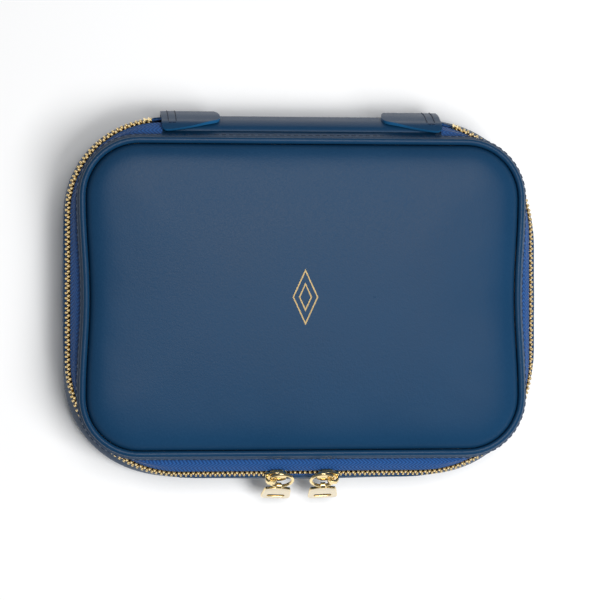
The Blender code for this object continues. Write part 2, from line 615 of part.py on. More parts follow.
def pull(name, nose, path, ring_pivot):
    """The flat pull, on an eye rolled round the lower arm of its ring."""
    start = path[-3]
    end = path[-4]
    along = (end - start) * nose
    along.normalize()
    down = Vector((along.y, -along.x, 0.0))
    out = Vector((0.0, 0.0, 1.0))
    middle = start.lerp(end, 0.5)
    lean = Matrix.Rotation(PULL_LEAN, 4, "X")
    turn = Matrix((along, -down, out)).transposed().to_4x4()
    pivot = frame(f"pull_{name}_pivot", Matrix.Translation(middle) @ turn @ lean, ring_pivot)

    inner = WIRE_RADIUS + 0.00035
    outer = inner + 0.0007
    turns = [math.tau * step / 12 for step in range(12)]
    circles = [[(radius * math.cos(turn), radius * math.sin(turn)) for turn in turns]
               for radius in (outer, inner)]
    eye_half = 0.0012
    loops = [[Vector((x, a, b)) for a, b in circle]
             for x, circle in ((-eye_half, circles[0]), (eye_half, circles[0]),
                               (eye_half, circles[1]), (-eye_half, circles[1]))]
    eye = helper(loft(f"pull_{name}_eye", GOLD, loops, closed=True, parent=pivot))

    half = PULL_WIDTH / 2
    top = -inner - 0.0004
    low = -PULL_LENGTH
    corner = 0.0022
    shape = [(-eye_half, top), (-half + corner + 0.001, top - 0.0010), (-half + 0.0006, top - 0.0010 - corner),
             (-half, low + corner), (-half + corner, low), (half - corner, low), (half, low + corner),
             (half - 0.0006, top - 0.0010 - corner), (half - corner - 0.001, top - 0.0010), (eye_half, top)]
    thick = PULL_THICKNESS / 2
    plate = prism(f"pull_{name}", GOLD_SATIN, shape, -thick, thick, parent=pivot)
    slot_half = 0.0046
    slot_y = low + 0.0036
    slot_r = 0.0011
    slot = [(slot_half - slot_r + slot_r * math.cos(turn), slot_y + slot_r * math.sin(turn))
            for turn in (math.radians(-90 + 45 * step) for step in range(5))]
    slot += [(-a, 2 * slot_y - b) for a, b in slot]
    cutter = helper(prism(f"pull_{name}_slot", GOLD, slot, -0.004, 0.004, parent=pivot))
    boolean(plate, cutter, "DIFFERENCE")
    boolean(plate, eye, "UNION")


base_shell()
back_wall()
zip_chain()
lid_shell()
lid_inside()
inside()
handle()
slider("left", -1)
slider("right", 1)
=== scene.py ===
"""Looks for a zip-around leather jewellery case: padded navy lid, gold zip, strap and lined tray."""

import json
import math

import bmesh
import bpy
from mathutils import Matrix, Vector, noise


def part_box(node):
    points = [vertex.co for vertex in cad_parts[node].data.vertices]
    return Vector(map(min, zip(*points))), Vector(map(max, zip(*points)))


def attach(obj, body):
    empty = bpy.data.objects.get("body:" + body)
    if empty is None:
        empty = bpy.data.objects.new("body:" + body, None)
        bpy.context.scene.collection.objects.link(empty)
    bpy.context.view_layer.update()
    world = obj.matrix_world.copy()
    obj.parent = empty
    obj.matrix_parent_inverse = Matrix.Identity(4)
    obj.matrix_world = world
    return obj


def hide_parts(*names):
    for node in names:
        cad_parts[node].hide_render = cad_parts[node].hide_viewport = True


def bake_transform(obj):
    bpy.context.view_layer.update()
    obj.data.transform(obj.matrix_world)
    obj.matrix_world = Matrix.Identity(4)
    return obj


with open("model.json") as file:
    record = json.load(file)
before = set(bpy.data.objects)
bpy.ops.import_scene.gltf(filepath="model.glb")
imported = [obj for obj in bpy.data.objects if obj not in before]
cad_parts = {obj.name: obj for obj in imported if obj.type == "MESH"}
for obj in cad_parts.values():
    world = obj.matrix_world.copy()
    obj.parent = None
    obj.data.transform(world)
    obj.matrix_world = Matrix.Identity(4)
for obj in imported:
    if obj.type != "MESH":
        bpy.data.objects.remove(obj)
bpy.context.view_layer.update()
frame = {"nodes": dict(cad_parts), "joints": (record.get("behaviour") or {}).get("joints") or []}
scene = bpy.context.scene
joints = {joint["name"]: joint for joint in frame["joints"]}

# Plan of the lid's lower edge, and the heights that the case is built on
LID_HALF_LENGTH = 0.1154
LID_HALF_DEPTH = 0.0825
RIM_Z = 0.0216
CHAIN_Z = 0.0270
LID_EDGE_Z = 0.0350
CROWN_Z = 0.0456
FOOT_Z = 0.0046
ZIP_REACH = 0.0077
ZIP_HALF_DEPTH = LID_HALF_DEPTH + ZIP_REACH
CHAIN_TILT = math.radians(33)
BACK_HALF_LENGTH = 0.0722

# (height, half length, half depth, corner radius, back left corner, bow of the short sides, of the front)
LEVELS = (
    (FOOT_Z, 0.1137, 0.0832, 0.0330, 0.0330, 0.0, 0.0),
    (RIM_Z, 0.1216, 0.0931, 0.0690, 0.0600, 0.0010, 0.0008),
    (0.0246, 0.1195, 0.0902, 0.0630, 0.0540, 0.0, 0.0),
    (0.0262, 0.1195, 0.0902, 0.0570, 0.0470, 0.0, 0.0),
    (0.0300, 0.1195, 0.0902, 0.0570, 0.0470, 0.0, 0.0),
    (LID_EDGE_Z, 0.1154, 0.0825, 0.0315, 0.0315, -0.0020, 0.0),
)
BACK_LINE = ((0.0027, 0.0046), (0.0076, 0.0085), (0.0090, 0.0125), (0.0080, 0.0185),
             (0.0054, 0.0255), (0.0018, 0.0318))

PIPING_RADIUS = 0.0017
TOOTH_PITCH = 0.0025
RING_POINTS = 208
RUN_POINTS = 240


# ---------------------------------------------------------------- finishes

class Value:
    """A number, colour or direction that varies over a surface, written as an expression."""

    def __init__(self, finish, socket):
        self.finish = finish
        self.socket = socket

    def calc(self, operation, *others):
        terms = dict(enumerate((self, *others)))
        return self.finish.node("ShaderNodeMath", {"operation": operation}, terms)

    def __add__(self, other):
        return self.calc("ADD", other)

    def __mul__(self, other):
        return self.calc("MULTIPLY", other)

    __radd__ = __add__
    __rmul__ = __mul__

    def part(self, letter):
        return self.finish.node("ShaderNodeSeparateXYZ", {}, {0: self}, output="XYZ".index(letter))

    def clamp(self, low, high):
        return self.finish.node("ShaderNodeMapRange", {"clamp": True}, {0: self, 1: low, 2: high})


class Finish:
    """A material with one Principled shader. Fixed numbers go straight on the shader's sockets."""

    def __init__(self, name, colour, roughness, metallic=0.0, **fixed):
        self.material = bpy.data.materials.new(name)
        self.material.use_nodes = True
        self.tree = self.material.node_tree
        self.shader = self.tree.nodes["Principled BSDF"]
        self.put("Base Color", (*colour, 1.0))
        self.put("Roughness", roughness)
        self.put("Metallic", metallic)
        for socket, number in fixed.items():
            self.put(socket.replace("_", " "), number)

    def put(self, socket, what):
        if isinstance(what, Value):
            self.tree.links.new(what.socket, self.shader.inputs[socket])
        else:
            self.shader.inputs[socket].default_value = what

    def node(self, kind, settings=None, sockets=None, output=0):
        made = self.tree.nodes.new(kind)
        for name, choice in (settings or {}).items():
            setattr(made, name, choice)
        for socket, what in (sockets or {}).items():
            if isinstance(what, Value):
                self.tree.links.new(what.socket, made.inputs[socket])
            else:
                made.inputs[socket].default_value = what
        return Value(self, made.outputs[output])

    def place(self):
        return self.node("ShaderNodeTexCoord", output="Object")

    def stretched(self, scale):
        return self.node("ShaderNodeMapping", {}, {"Vector": self.place(), "Scale": scale})

    def weave(self):
        return self.node("ShaderNodeUVMap", {"uv_map": "weave"})

    def noise(self, scale, detail=3.0, where=None, roughness=0.5):
        return self.node("ShaderNodeTexNoise", {}, {"Vector": where or self.place(), "Scale": scale,
                                                    "Detail": detail, "Roughness": roughness})

    def cells(self, scale, feature="F1", where=None):
        return self.node("ShaderNodeTexVoronoi", {"feature": feature},
                         {"Vector": where or self.place(), "Scale": scale})

    def mix(self, share, first, second):
        colours = [tint if isinstance(tint, Value) else (*tint, 1.0) for tint in (first, second)]
        return self.node("ShaderNodeMix", {"data_type": "RGBA"},
                         {0: share, 6: colours[0], 7: colours[1]}, output=2)

    def bump(self, height, depth, strength=1.0):
        self.put("Normal", self.node("ShaderNodeBump", {}, {
            "Height": height, "Distance": depth, "Strength": strength}))


def leather_finish(name, deep, lit, roughness=0.40):
    finish = Finish(name, deep, roughness, Specular_IOR_Level=0.27)
    grain = finish.cells(1150.0, "SMOOTH_F1")
    pores = finish.cells(2600.0)
    cloud = finish.noise(22.0, 4.0)
    creases = finish.noise(420.0, 2.0)
    finish.put("Base Color", finish.mix((cloud * 0.55 + grain * 0.35).clamp(0.15, 0.75), deep, lit))
    finish.put("Roughness", cloud * 0.08 + grain * 0.10 + (roughness - 0.08))
    finish.bump(grain * 0.8 + pores * 0.35 + creases * 0.8, 0.00005, 0.75)
    return finish.material


def edge_finish(name, colour, fleck, roughness):
    finish = Finish(name, colour, roughness)
    flecks = finish.noise(1900.0, 2.0)
    finish.put("Base Color", finish.mix(flecks.clamp(0.35, 0.7), colour, fleck))
    finish.bump(flecks, 0.00006, 0.6)
    return finish.material


def tape_finish(name, dark, light):
    """Herringbone weave: slanting ribs that turn back in each narrow column along the tape."""
    finish = Finish(name, dark, 0.72, Sheen_Weight=0.15, Sheen_Roughness=0.4)
    spot = finish.weave()
    along = spot.part("X")
    across = spot.part("Y")
    column = across.calc("PINGPONG", 0.0026)
    ribs = ((along + column * 1.15) * (math.tau / 0.0020)).calc("SINE") * 0.5 + 0.5
    threads = (across * (math.tau / 0.00042)).calc("SINE") * 0.5 + 0.5
    fuzz = finish.noise(2400.0, 2.0)
    tone = (ribs * 0.62 + threads * 0.14 + fuzz * 0.40).clamp(0.15, 1.0)
    finish.put("Base Color", finish.mix(tone, dark, light))
    finish.put("Roughness", fuzz * 0.2 + 0.6)
    finish.bump(ribs * 0.8 + threads * 0.2 + fuzz * 0.3, 0.00016, 0.9)
    return finish.material


def metal_finish(name, colour, roughness, scratches):
    finish = Finish(name, colour, roughness, 1.0)
    fine = finish.noise(900.0, 3.0, finish.stretched((1.0, 1.0, 0.15)))
    finish.put("Roughness", fine * scratches + (roughness - 0.5 * scratches))
    return finish.material


def frosted_finish(name, colour, sparkle):
    finish = Finish(name, colour, 0.42, 1.0)
    flecks = finish.cells(4200.0)
    fine = finish.noise(3000.0, 2.0)
    finish.put("Base Color", finish.mix(flecks.clamp(0.1, 0.8), colour, sparkle))
    finish.put("Roughness", fine * 0.25 + 0.32)
    finish.bump(flecks + fine, 0.00006, 0.7)
    return finish.material


def suede_finish(name, dark, light):
    finish = Finish(name, dark, 0.92, Sheen_Weight=0.45, Sheen_Roughness=0.55)
    nap = finish.noise(1500.0, 3.0)
    stroke = finish.noise(38.0, 4.0, finish.stretched((1.0, 0.55, 1.0)))
    finish.put("Base Color", finish.mix((nap * 0.45 + stroke * 0.65).clamp(0.30, 0.80), dark, light))
    finish.bump(nap + stroke * 0.4, 0.00016, 0.8)
    return finish.material


def ribbed_finish(name, dark, light):
    finish = Finish(name, dark, 0.85, Sheen_Weight=0.2)
    rib = (finish.place().part("X") * (math.tau / 0.0011)).calc("SINE") * 0.5 + 0.5
    fuzz = finish.noise(2200.0, 2.0)
    finish.put("Base Color", finish.mix((rib * 0.7 + fuzz * 0.4).clamp(0.1, 1.0), dark, light))
    finish.bump(rib, 0.0002, 0.8)
    return finish.material


def board_finish(name, dark, light):
    finish = Finish(name, dark, 0.9)
    fibres = finish.noise(600.0, 4.0, finish.stretched((1.0, 0.3, 1.0)))
    finish.put("Base Color", finish.mix(fibres, dark, light))
    finish.bump(fibres, 0.0001, 0.5)
    return finish.material


NAVY = leather_finish("navy_leather", (0.0045, 0.0350, 0.0880), (0.0080, 0.0460, 0.1100), 0.42)
NAVY_SOFT = leather_finish("navy_piping_leather", (0.0040, 0.0330, 0.0830), (0.0070, 0.0430, 0.1030), 0.34)
RAW_EDGE = edge_finish("raw_leather_edge", (0.060, 0.105, 0.165), (0.140, 0.190, 0.250), 0.62)
PAINTED_EDGE = edge_finish("painted_edge", (0.008, 0.075, 0.185), (0.012, 0.095, 0.220), 0.30)
TAPE = tape_finish("zip_tape", (0.0040, 0.0300, 0.1200), (0.0200, 0.1050, 0.3300))
GOLD = metal_finish("polished_gold", (0.96, 0.76, 0.40), 0.15, 0.08)
TOOTH_GOLD = metal_finish("tooth_gold", (0.95, 0.73, 0.36), 0.24, 0.10)
FROSTED_GOLD = frosted_finish("frosted_gold", (0.88, 0.76, 0.55), (0.96, 0.88, 0.72))
FOIL = metal_finish("pressed_foil", (0.55, 0.41, 0.20), 0.50, 0.10)
THREAD = edge_finish("navy_thread", (0.006, 0.014, 0.035), (0.012, 0.026, 0.060), 0.6)
SUEDE = suede_finish("sand_suede", (0.470, 0.375, 0.280), (0.640, 0.535, 0.420))
ELASTIC = ribbed_finish("sand_elastic", (0.360, 0.280, 0.205), (0.560, 0.460, 0.360))
BOARD = board_finish("grey_board", (0.250, 0.240, 0.220), (0.360, 0.350, 0.330))


# ---------------------------------------------------------------- shaping

def blended(low, high, share):
    return low + (high - low) * share


def level_at(z):
    """Half length, half depth, the two corner radii and the two bows of the plan at a height."""
    if z <= LEVELS[0][0]:
        return LEVELS[0][1:]
    for low, high in zip(LEVELS, LEVELS[1:]):
        if z <= high[0]:
            share = (z - low[0]) / (high[0] - low[0])
            return tuple(blended(a, b, share) for a, b in zip(low[1:], high[1:]))
    return LEVELS[-1][1:]


def plan_at(reach, z):
    """The rounded plan at a height, from the middle of the back, round by the left and the front."""
    half_length, half_depth, corner, back_left, bow_length, bow_depth = level_at(z)
    grow = LID_HALF_DEPTH + reach - half_depth
    half_length += grow
    half_depth += grow
    arcs = []
    for sign_x, sign_y, first, radius in ((-1, 1, 90.0, back_left), (-1, -1, 180.0, corner),
                                          (1, -1, 270.0, corner), (1, 1, 0.0, corner)):
        radius = min(max(radius + grow, 0.004), half_depth)
        centre = Vector((sign_x * (half_length - radius), sign_y * (half_depth - radius), z))
        turns = [math.radians(first + 5.0 * step) for step in range(19)]
        arcs.append([centre + radius * Vector((math.cos(turn), math.sin(turn), 0.0)) for turn in turns])
    points = []
    bows = ((-bow_length, 0.0), (0.0, -bow_depth), (bow_length, 0.0), (0.0, 0.0))
    for arc, after, bow in zip(arcs, arcs[1:] + arcs[:1], bows):
        points += arc
        for step in range(1, 24):
            bulge = math.sin(math.pi * step / 24) ** 2
            points.append(arc[-1].lerp(after[0], step / 24) + bulge * Vector((*bow, 0.0)))
    middle = min(range(len(points)), key=lambda n: (points[n] - Vector((0.0, half_depth, z))).length)
    return points[middle:] + points[:middle]


def lengths_of(points):
    total = [0.0]
    for before, after in zip(points, points[1:]):
        total.append(total[-1] + (after - before).length)
    return total


def spaced(points, start, end, count):
    """Evenly spaced points along a line of points, between two distances from its start."""
    total = lengths_of(points)
    found = []
    here = 0
    for step in range(count):
        wanted = blended(start, end, step / (count - 1))
        while here < len(points) - 2 and total[here + 1] < wanted:
            here += 1
        share = (wanted - total[here]) / max(total[here + 1] - total[here], 1e-9)
        found.append(points[here].lerp(points[here + 1], share))
    return found


def ring_row(reach, z, count=RING_POINTS):
    points = plan_at(reach, z)
    points.append(points[0].copy())
    return spaced(points, 0.0, lengths_of(points)[-1], count + 1)[:-1]


def run_row(reach, z, end_x, count=RUN_POINTS):
    """A row from the back left, round the front, to the back right, ending at plus and minus end_x."""
    points = plan_at(reach, z)
    points.append(points[0].copy())
    total = lengths_of(points)

    def crossing(pairs, side):
        for low in pairs:
            first, second = points[low], points[low + 1]
            if (first.x - side) * (second.x - side) <= 0.0 and first.y > 0.0:
                share = (side - first.x) / ((second.x - first.x) or 1e-9)
                return blended(total[low], total[low + 1], share)
        raise ValueError("the row never reaches its end")

    start = crossing(range(len(points) - 1), -end_x)
    end = crossing(range(len(points) - 2, -1, -1), end_x)
    return spaced(points, start, end, count)


def flowing(points, steps=6):
    """A smooth line through (reach, height) points."""
    found = []
    last = len(points) - 1
    for here in range(last):
        near = [Vector(points[min(max(here + n, 0), last)]) for n in (-1, 0, 1, 2)]
        for step in range(steps):
            t = step / steps
            found.append(tuple(0.5 * (2 * near[1] + t * (near[2] - near[0])
                                      + t * t * (2 * near[0] - 5 * near[1] + 4 * near[2] - near[3])
                                      + t * t * t * (3 * near[1] - near[0] - 3 * near[2] + near[3]))))
    return found + [tuple(points[-1])]


def sideways(line, distance):
    """A line of (reach, height) points moved to its right as it runs."""
    moved = []
    for here, (reach, z) in enumerate(line):
        before = line[max(here - 1, 0)]
        after = line[min(here + 1, len(line) - 1)]
        along = Vector((after[0] - before[0], after[1] - before[1])).normalized()
        moved.append((reach + distance * along.y, z - distance * along.x))
    return moved


def folded(line, outward, inward, turns=3):
    """The closed section of a sheet along a line, with both of its edges rounded over."""
    right = sideways(line, outward)
    left = sideways(line, inward)[::-1]
    section = list(right)
    for one, other, forward in ((right[-1], left[0], 1), (left[-1], right[0], -1)):
        before = line[-2 if forward > 0 else 1]
        tip = line[-1 if forward > 0 else 0]
        out = Vector((tip[0] - before[0], tip[1] - before[1])).normalized()
        middle = (Vector(one) + Vector(other)) / 2
        arm = Vector(one) - middle
        for step in range(1, turns):
            turn = math.pi * step / turns
            section.append(tuple(middle + arm * math.cos(turn) + out * arm.length * math.sin(turn)))
        section.extend(left if forward > 0 else [])
    return section


def circle_section(reach, z, radius, steps=14):
    turns = [math.tau * step / steps for step in range(steps)]
    return [(reach + radius * math.cos(turn), z + radius * math.sin(turn)) for turn in turns]


def skinned(rows, round_rows=True, back_to_first=False, spots=None):
    """Draws the first row, extrudes it to each of the others, and closes what is open."""
    made = bmesh.new()
    place = made.verts.layers.int.new("place")
    line = made.verts.layers.int.new("line")
    corners = []
    for number, point in enumerate(rows[0]):
        corners.append(made.verts.new(point))
        corners[-1][place] = number
    ends = corners[1:] + corners[:1] if round_rows else corners[1:]
    edges = [made.edges.new(pair) for pair in zip(corners, ends)]
    for number, row in enumerate(rows[1:] + (rows[:1] if back_to_first else []), 1):
        grown = bmesh.ops.extrude_edge_only(made, edges=edges)["geom"]
        fresh = {part for part in grown if isinstance(part, bmesh.types.BMVert)}
        edges = [part for part in grown
                 if isinstance(part, bmesh.types.BMEdge) and fresh.issuperset(part.verts)]
        for corner in fresh:
            corner.co = row[corner[place]]
            corner[line] = number
    if spots:
        weave = made.loops.layers.uv.new("weave")
        for face in made.faces:
            for loop in face.loops:
                loop[weave].uv = spots(loop.vert[place], loop.vert[line])
    bmesh.ops.remove_doubles(made, verts=made.verts, dist=1e-7)
    open_edges = [edge for edge in made.edges if edge.is_boundary]
    if open_edges:
        bmesh.ops.holes_fill(made, edges=open_edges, sides=0)
    bmesh.ops.recalc_face_normals(made, faces=made.faces)
    return made


def slab(outline, low, high, axes=Matrix.Identity(4)):
    """A flat outline in the first two axes of a matrix, extruded along the third."""
    made = bmesh.new()
    face = made.faces.new([made.verts.new((a, b, low)) for a, b in outline])
    grown = bmesh.ops.extrude_face_region(made, geom=[face])["geom"]
    moved = [part for part in grown if isinstance(part, bmesh.types.BMVert)]
    bmesh.ops.translate(made, verts=moved, vec=(0.0, 0.0, high - low))
    bmesh.ops.transform(made, matrix=axes, verts=made.verts)
    bmesh.ops.recalc_face_normals(made, faces=made.faces)
    return made


def block(size, centre=(0.0, 0.0, 0.0), rounding=0.0, segments=1):
    made = bmesh.new()
    bmesh.ops.create_cube(made, size=1.0)
    bmesh.ops.scale(made, verts=made.verts, vec=size)
    bmesh.ops.translate(made, verts=made.verts, vec=centre)
    if rounding:
        rounded(made, rounding, segments)
    return made


def rounded(made, width, segments=2, angle=35):
    edges = [edge for edge in made.edges if edge.calc_face_angle(0.0) > math.radians(angle)]
    bmesh.ops.bevel(made, geom=edges, offset=width, offset_type="OFFSET", segments=segments,
                    affect="EDGES", profile=0.5, material=-1, clamp_overlap=True)
    return made


def wire(path, radius, steps=12):
    """A round wire along a closed flat path in its own XY plane."""
    rows = []
    for here, point in enumerate(path):
        along = (path[(here + 1) % len(path)] - path[here - 1]).normalized()
        across = Vector((-along.y, along.x, 0.0))
        turns = [math.tau * step / steps for step in range(steps)]
        rows.append([point + radius * (across * math.cos(turn) + Vector((0, 0, math.sin(turn))))
                     for turn in turns])
    return skinned(rows, back_to_first=True)


def joined(*parts):
    """Several finished shapes in one piece."""
    made = bmesh.new()
    for part in parts:
        mesh = bpy.data.meshes.new("part")
        part.to_mesh(mesh)
        part.free()
        made.from_mesh(mesh)
        bpy.data.meshes.remove(mesh)
    return made


def repeated(part, places):
    """Copies of a small shape, one at each matrix."""
    mesh = bpy.data.meshes.new("part")
    part.to_mesh(mesh)
    part.free()
    made = bmesh.new()
    for matrix in places:
        before = len(made.verts)
        made.from_mesh(mesh)
        made.verts.ensure_lookup_table()
        bmesh.ops.transform(made, matrix=matrix, verts=made.verts[before:])
    bpy.data.meshes.remove(mesh)
    return made


def piece(name, made, finish, body, stands_for=(), angle=40):
    mesh = bpy.data.meshes.new(name)
    made.to_mesh(mesh)
    made.free()
    mesh.materials.append(finish)
    mesh.shade_smooth()
    mesh.set_sharp_from_angle(angle=math.radians(angle))
    thing = bpy.data.objects.new(name, mesh)
    scene.collection.objects.link(thing)
    if body:
        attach(thing, body)
    if stands_for:
        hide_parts(*stands_for)
    return thing


def second_finish(thing, finish, chosen):
    """Gives the faces that a test chooses another finish."""
    thing.data.materials.append(finish)
    for face in thing.data.polygons:
        if chosen(face.center, face.normal):
            face.material_index = 1


def along_matrix(point, along, up):
    """A matrix at a point with X along, Y up and Z out."""
    out = along.cross(up).normalized()
    turn = Matrix((along.normalized(), out.cross(along).normalized(), out)).transposed().to_4x4()
    return Matrix.Translation(point) @ turn


def chain_point(up, out, reach=ZIP_REACH):
    return (reach - up * math.sin(CHAIN_TILT) + out * math.cos(CHAIN_TILT),
            CHAIN_Z + up * math.cos(CHAIN_TILT) + out * math.sin(CHAIN_TILT))


# ---------------------------------------------------------------- lid

def crown_section():
    """From the underside of the groove, over the padded crown, to the middle of the lid."""
    groove = -0.0045
    rise = CROWN_Z - LID_EDGE_Z
    shares = ((0.0, 0.20), (-0.0003, 0.36), (-0.0014, 0.53), (-0.0034, 0.67), (-0.0074, 0.80),
              (-0.0140, 0.885), (-0.0240, 0.935), (-0.0370, 0.970), (-0.0520, 0.990),
              (-0.0680, 0.999), (-0.0765, 1.0))
    return [(groove + across, LID_EDGE_Z + share * rise) for across, share in shares]


def padded_lid():
    line = flowing(crown_section(), 4)
    rows = [ring_row(-0.0120, line[0][1])] + [ring_row(*point) for point in line]
    made = skinned(rows)
    for corner in made.verts:
        spot = corner.co
        inside = max(abs(spot.x) / LID_HALF_LENGTH, abs(spot.y) / LID_HALF_DEPTH)
        edge = max(0.0, min(1.0, (inside - 0.55) / 0.30)) * max(0.0, min(1.0, (0.965 - inside) / 0.08))
        waves = noise.noise(Vector((spot.x * 26.0, spot.y * 26.0, 1.7)))
        ripples = noise.noise(Vector((spot.x * 70.0, spot.y * 70.0, 6.1)))
        corner.co.z += edge * (0.00042 * waves + 0.00013 * ripples)
    lid = piece("lid_padded_top", made, NAVY, "lid", ("top_panel", "top_foam"), angle=60)


def lid_edge():
    piping = skinned([ring_row(*point) for point in
                      circle_section(-0.0027, LID_EDGE_Z + 0.0038, PIPING_RADIUS)],
                     back_to_first=True)
    piece("lid_piping_cord", piping, NAVY_SOFT, "lid", ("lid_piping",), angle=80)

    line = flowing([(0.0005, LID_EDGE_Z - 0.0008), (0.0002, LID_EDGE_Z + 0.0006),
                    (-0.0006, LID_EDGE_Z + 0.0018), (-0.0016, LID_EDGE_Z + 0.0028)], 3)
    binding = skinned([ring_row(*point) for point in folded(line, 0.0, -0.0013)], back_to_first=True)
    strip = piece("lid_edge_binding", binding, NAVY_SOFT, "lid", ("lid_binding",), angle=60)
    second_finish(strip, RAW_EDGE, lambda centre, normal: centre.z < LID_EDGE_Z - 0.00055)

    path = ring_row(0.00035, LID_EDGE_Z + 0.0004, 1000)
    stitches = []
    for here in range(0, len(path), 5):
        after = path[(here + 1) % len(path)]
        stitches.append(along_matrix(path[here], after - path[here], Vector((0.0, 0.0, 1.0))))
    stitch = block((0.0022, 0.00035, 0.00030), rounding=0.0001)
    piece("lid_edge_stitches", repeated(stitch, stitches), THREAD, "lid")


# ---------------------------------------------------------------- zip

def binding_end_stitches():
    for name, side in (("left", -1), ("right", 1)):
        path = [Vector((side * 0.0686, 0.0834, 0.0352)), Vector((side * 0.0686, 0.0814, 0.0377))]
        row_of_stitches(f"binding_end_stitches_{name}", spaced(path, 0.0, (path[1] - path[0]).length, 40),
                        Vector((1.0, 0.0, 0.0)), "lid", 0.0011, (0.0008, 0.0003, 0.0003))


def zip_tapes():
    upper = flowing([chain_point(0.0021, 0.0), (0.0036, 0.0312), (0.0012, 0.0322),
                     (-0.0004, 0.0326), (-0.0018, 0.0332), (-0.0032, 0.0356)], 4)
    lower = flowing([chain_point(-0.0049, -0.0010), chain_point(-0.0038, -0.0005),
                     chain_point(-0.0021, 0.0)], 3)
    for name, line, body, node in (("zip_tape_upper", upper, "lid", "upper_zip_tape"),
                                   ("zip_tape_lower", lower, "base", "lower_zip_tape")):
        section = folded(line, 0.00042, -0.00042, 2)
        rows = [run_row(reach, z, BACK_HALF_LENGTH - 0.0002) for reach, z in section]
        total = lengths_of(rows[0])[-1]
        across = lengths_of([Vector((reach, z)) for reach, z in section])
        tape = skinned(rows, round_rows=False, back_to_first=True,
                       spots=lambda place, line_number: (total * place / (RUN_POINTS - 1),
                                                         across[line_number % len(across)]))
        piece(name, tape, TAPE, body, (node,), angle=60)


def tooth():
    """A clamped metal tooth: a wide foot on the tape and a narrower head, with a shoulder where they meet."""
    foot = block((0.0013, 0.0012, 0.0021), (0.0, 0.0015, 0.0))
    head = block((0.00105, 0.0016, 0.0018), (0.0, 0.0004, 0.0))
    for shape in (foot, head):
        rounded(shape, 0.00028, 1)
    return joined(foot, head)


def zip_teeth():
    path = run_row(ZIP_REACH, CHAIN_Z, 0.0776, 1600)
    total = lengths_of(path)
    count = int(total[-1] / TOOTH_PITCH)
    rows = {"upper": [], "lower": []}
    for step in range(2 * count + 1):
        wanted = step * TOOTH_PITCH / 2
        here = min(range(len(path) - 1), key=lambda n: abs(total[n] - wanted))
        along = (path[here + 1] - path[here]).normalized()
        outward = Vector((along.y, -along.x, 0.0))
        up = Vector((0.0, 0.0, math.cos(CHAIN_TILT))) - outward * math.sin(CHAIN_TILT)
        row = "upper" if step % 2 else "lower"
        place = along_matrix(path[here], along, up)
        parted = abs(path[here].x) < 0.0085 and path[here].y < 0.0
        if row == "lower":
            place = place @ Matrix.Rotation(math.pi, 4, "Z")
        if parted:
            spread = (0.0, 0.0016, -0.0008) if row == "lower" else (0.0, 0.0002, 0.0)
            place = place @ Matrix.Translation(spread)
        rows[row].append(place)
    piece("zip_teeth_upper", repeated(tooth(), rows["upper"]), TOOTH_GOLD, "lid",
          ("upper_zip_teeth",))
    piece("zip_teeth_lower", repeated(tooth(), rows["lower"]), TOOTH_GOLD, "base",
          ("lower_zip_teeth",))


def zip_stops():
    path = run_row(ZIP_REACH, CHAIN_Z, 0.0752, 1600)
    for name, here in (("left", 12), ("right", len(path) - 14)):
        along = (path[here + 1] - path[here]).normalized()
        outward = Vector((along.y, -along.x, 0.0))
        up = Vector((0.0, 0.0, math.cos(CHAIN_TILT))) - outward * math.sin(CHAIN_TILT)
        place = along_matrix(path[here], along, up)
        legs = [block((0.0009, 0.0042, 0.0030), (offset, -0.0002, 0.0), 0.0003, 2)
                for offset in (-0.00115, 0.00115)]
        bar = block((0.0030, 0.0014, 0.0028), (0.0, -0.0002, 0.0), 0.0003, 2)
        stop = joined(*legs, bar)
        bmesh.ops.transform(stop, matrix=place, verts=stop.verts)
        piece(f"zip_end_stop_{name}", stop, GOLD, "base", (f"zip_stop_{name}",))


# ---------------------------------------------------------------- sliders

def slider_place(side):
    up = Vector((0.0, math.sin(CHAIN_TILT), math.cos(CHAIN_TILT)))
    return along_matrix(Vector((side * 0.0135, -ZIP_HALF_DEPTH, CHAIN_Z)), Vector((1.0, 0.0, 0.0)), up)


def ring_path(nose, steps=26):
    """A short bar, two spreading arms and a round end, in the slider's own frame."""
    wide, bar, drop, depth = 0.0062, 0.0042, -0.0013, 0.0112
    path = [Vector((0.0, drop + bar * share, 0.0)) for share in (-0.5, -0.17, 0.17, 0.5)]
    path += [Vector((0.0003, drop + 0.92 * bar, 0.0)), Vector((0.0012, drop + 1.10 * bar, 0.0))]
    for step in range(steps + 1):
        turn = math.radians(105 - 210 * step / steps)
        path.append(Vector((depth - wide + wide * math.cos(turn), drop + wide * math.sin(turn), 0.0)))
    path += [Vector((0.0012, drop - 1.10 * bar, 0.0)), Vector((0.0003, drop - 0.92 * bar, 0.0))]
    return [Vector((nose * point.x, point.y, 0.0)) for point in path]


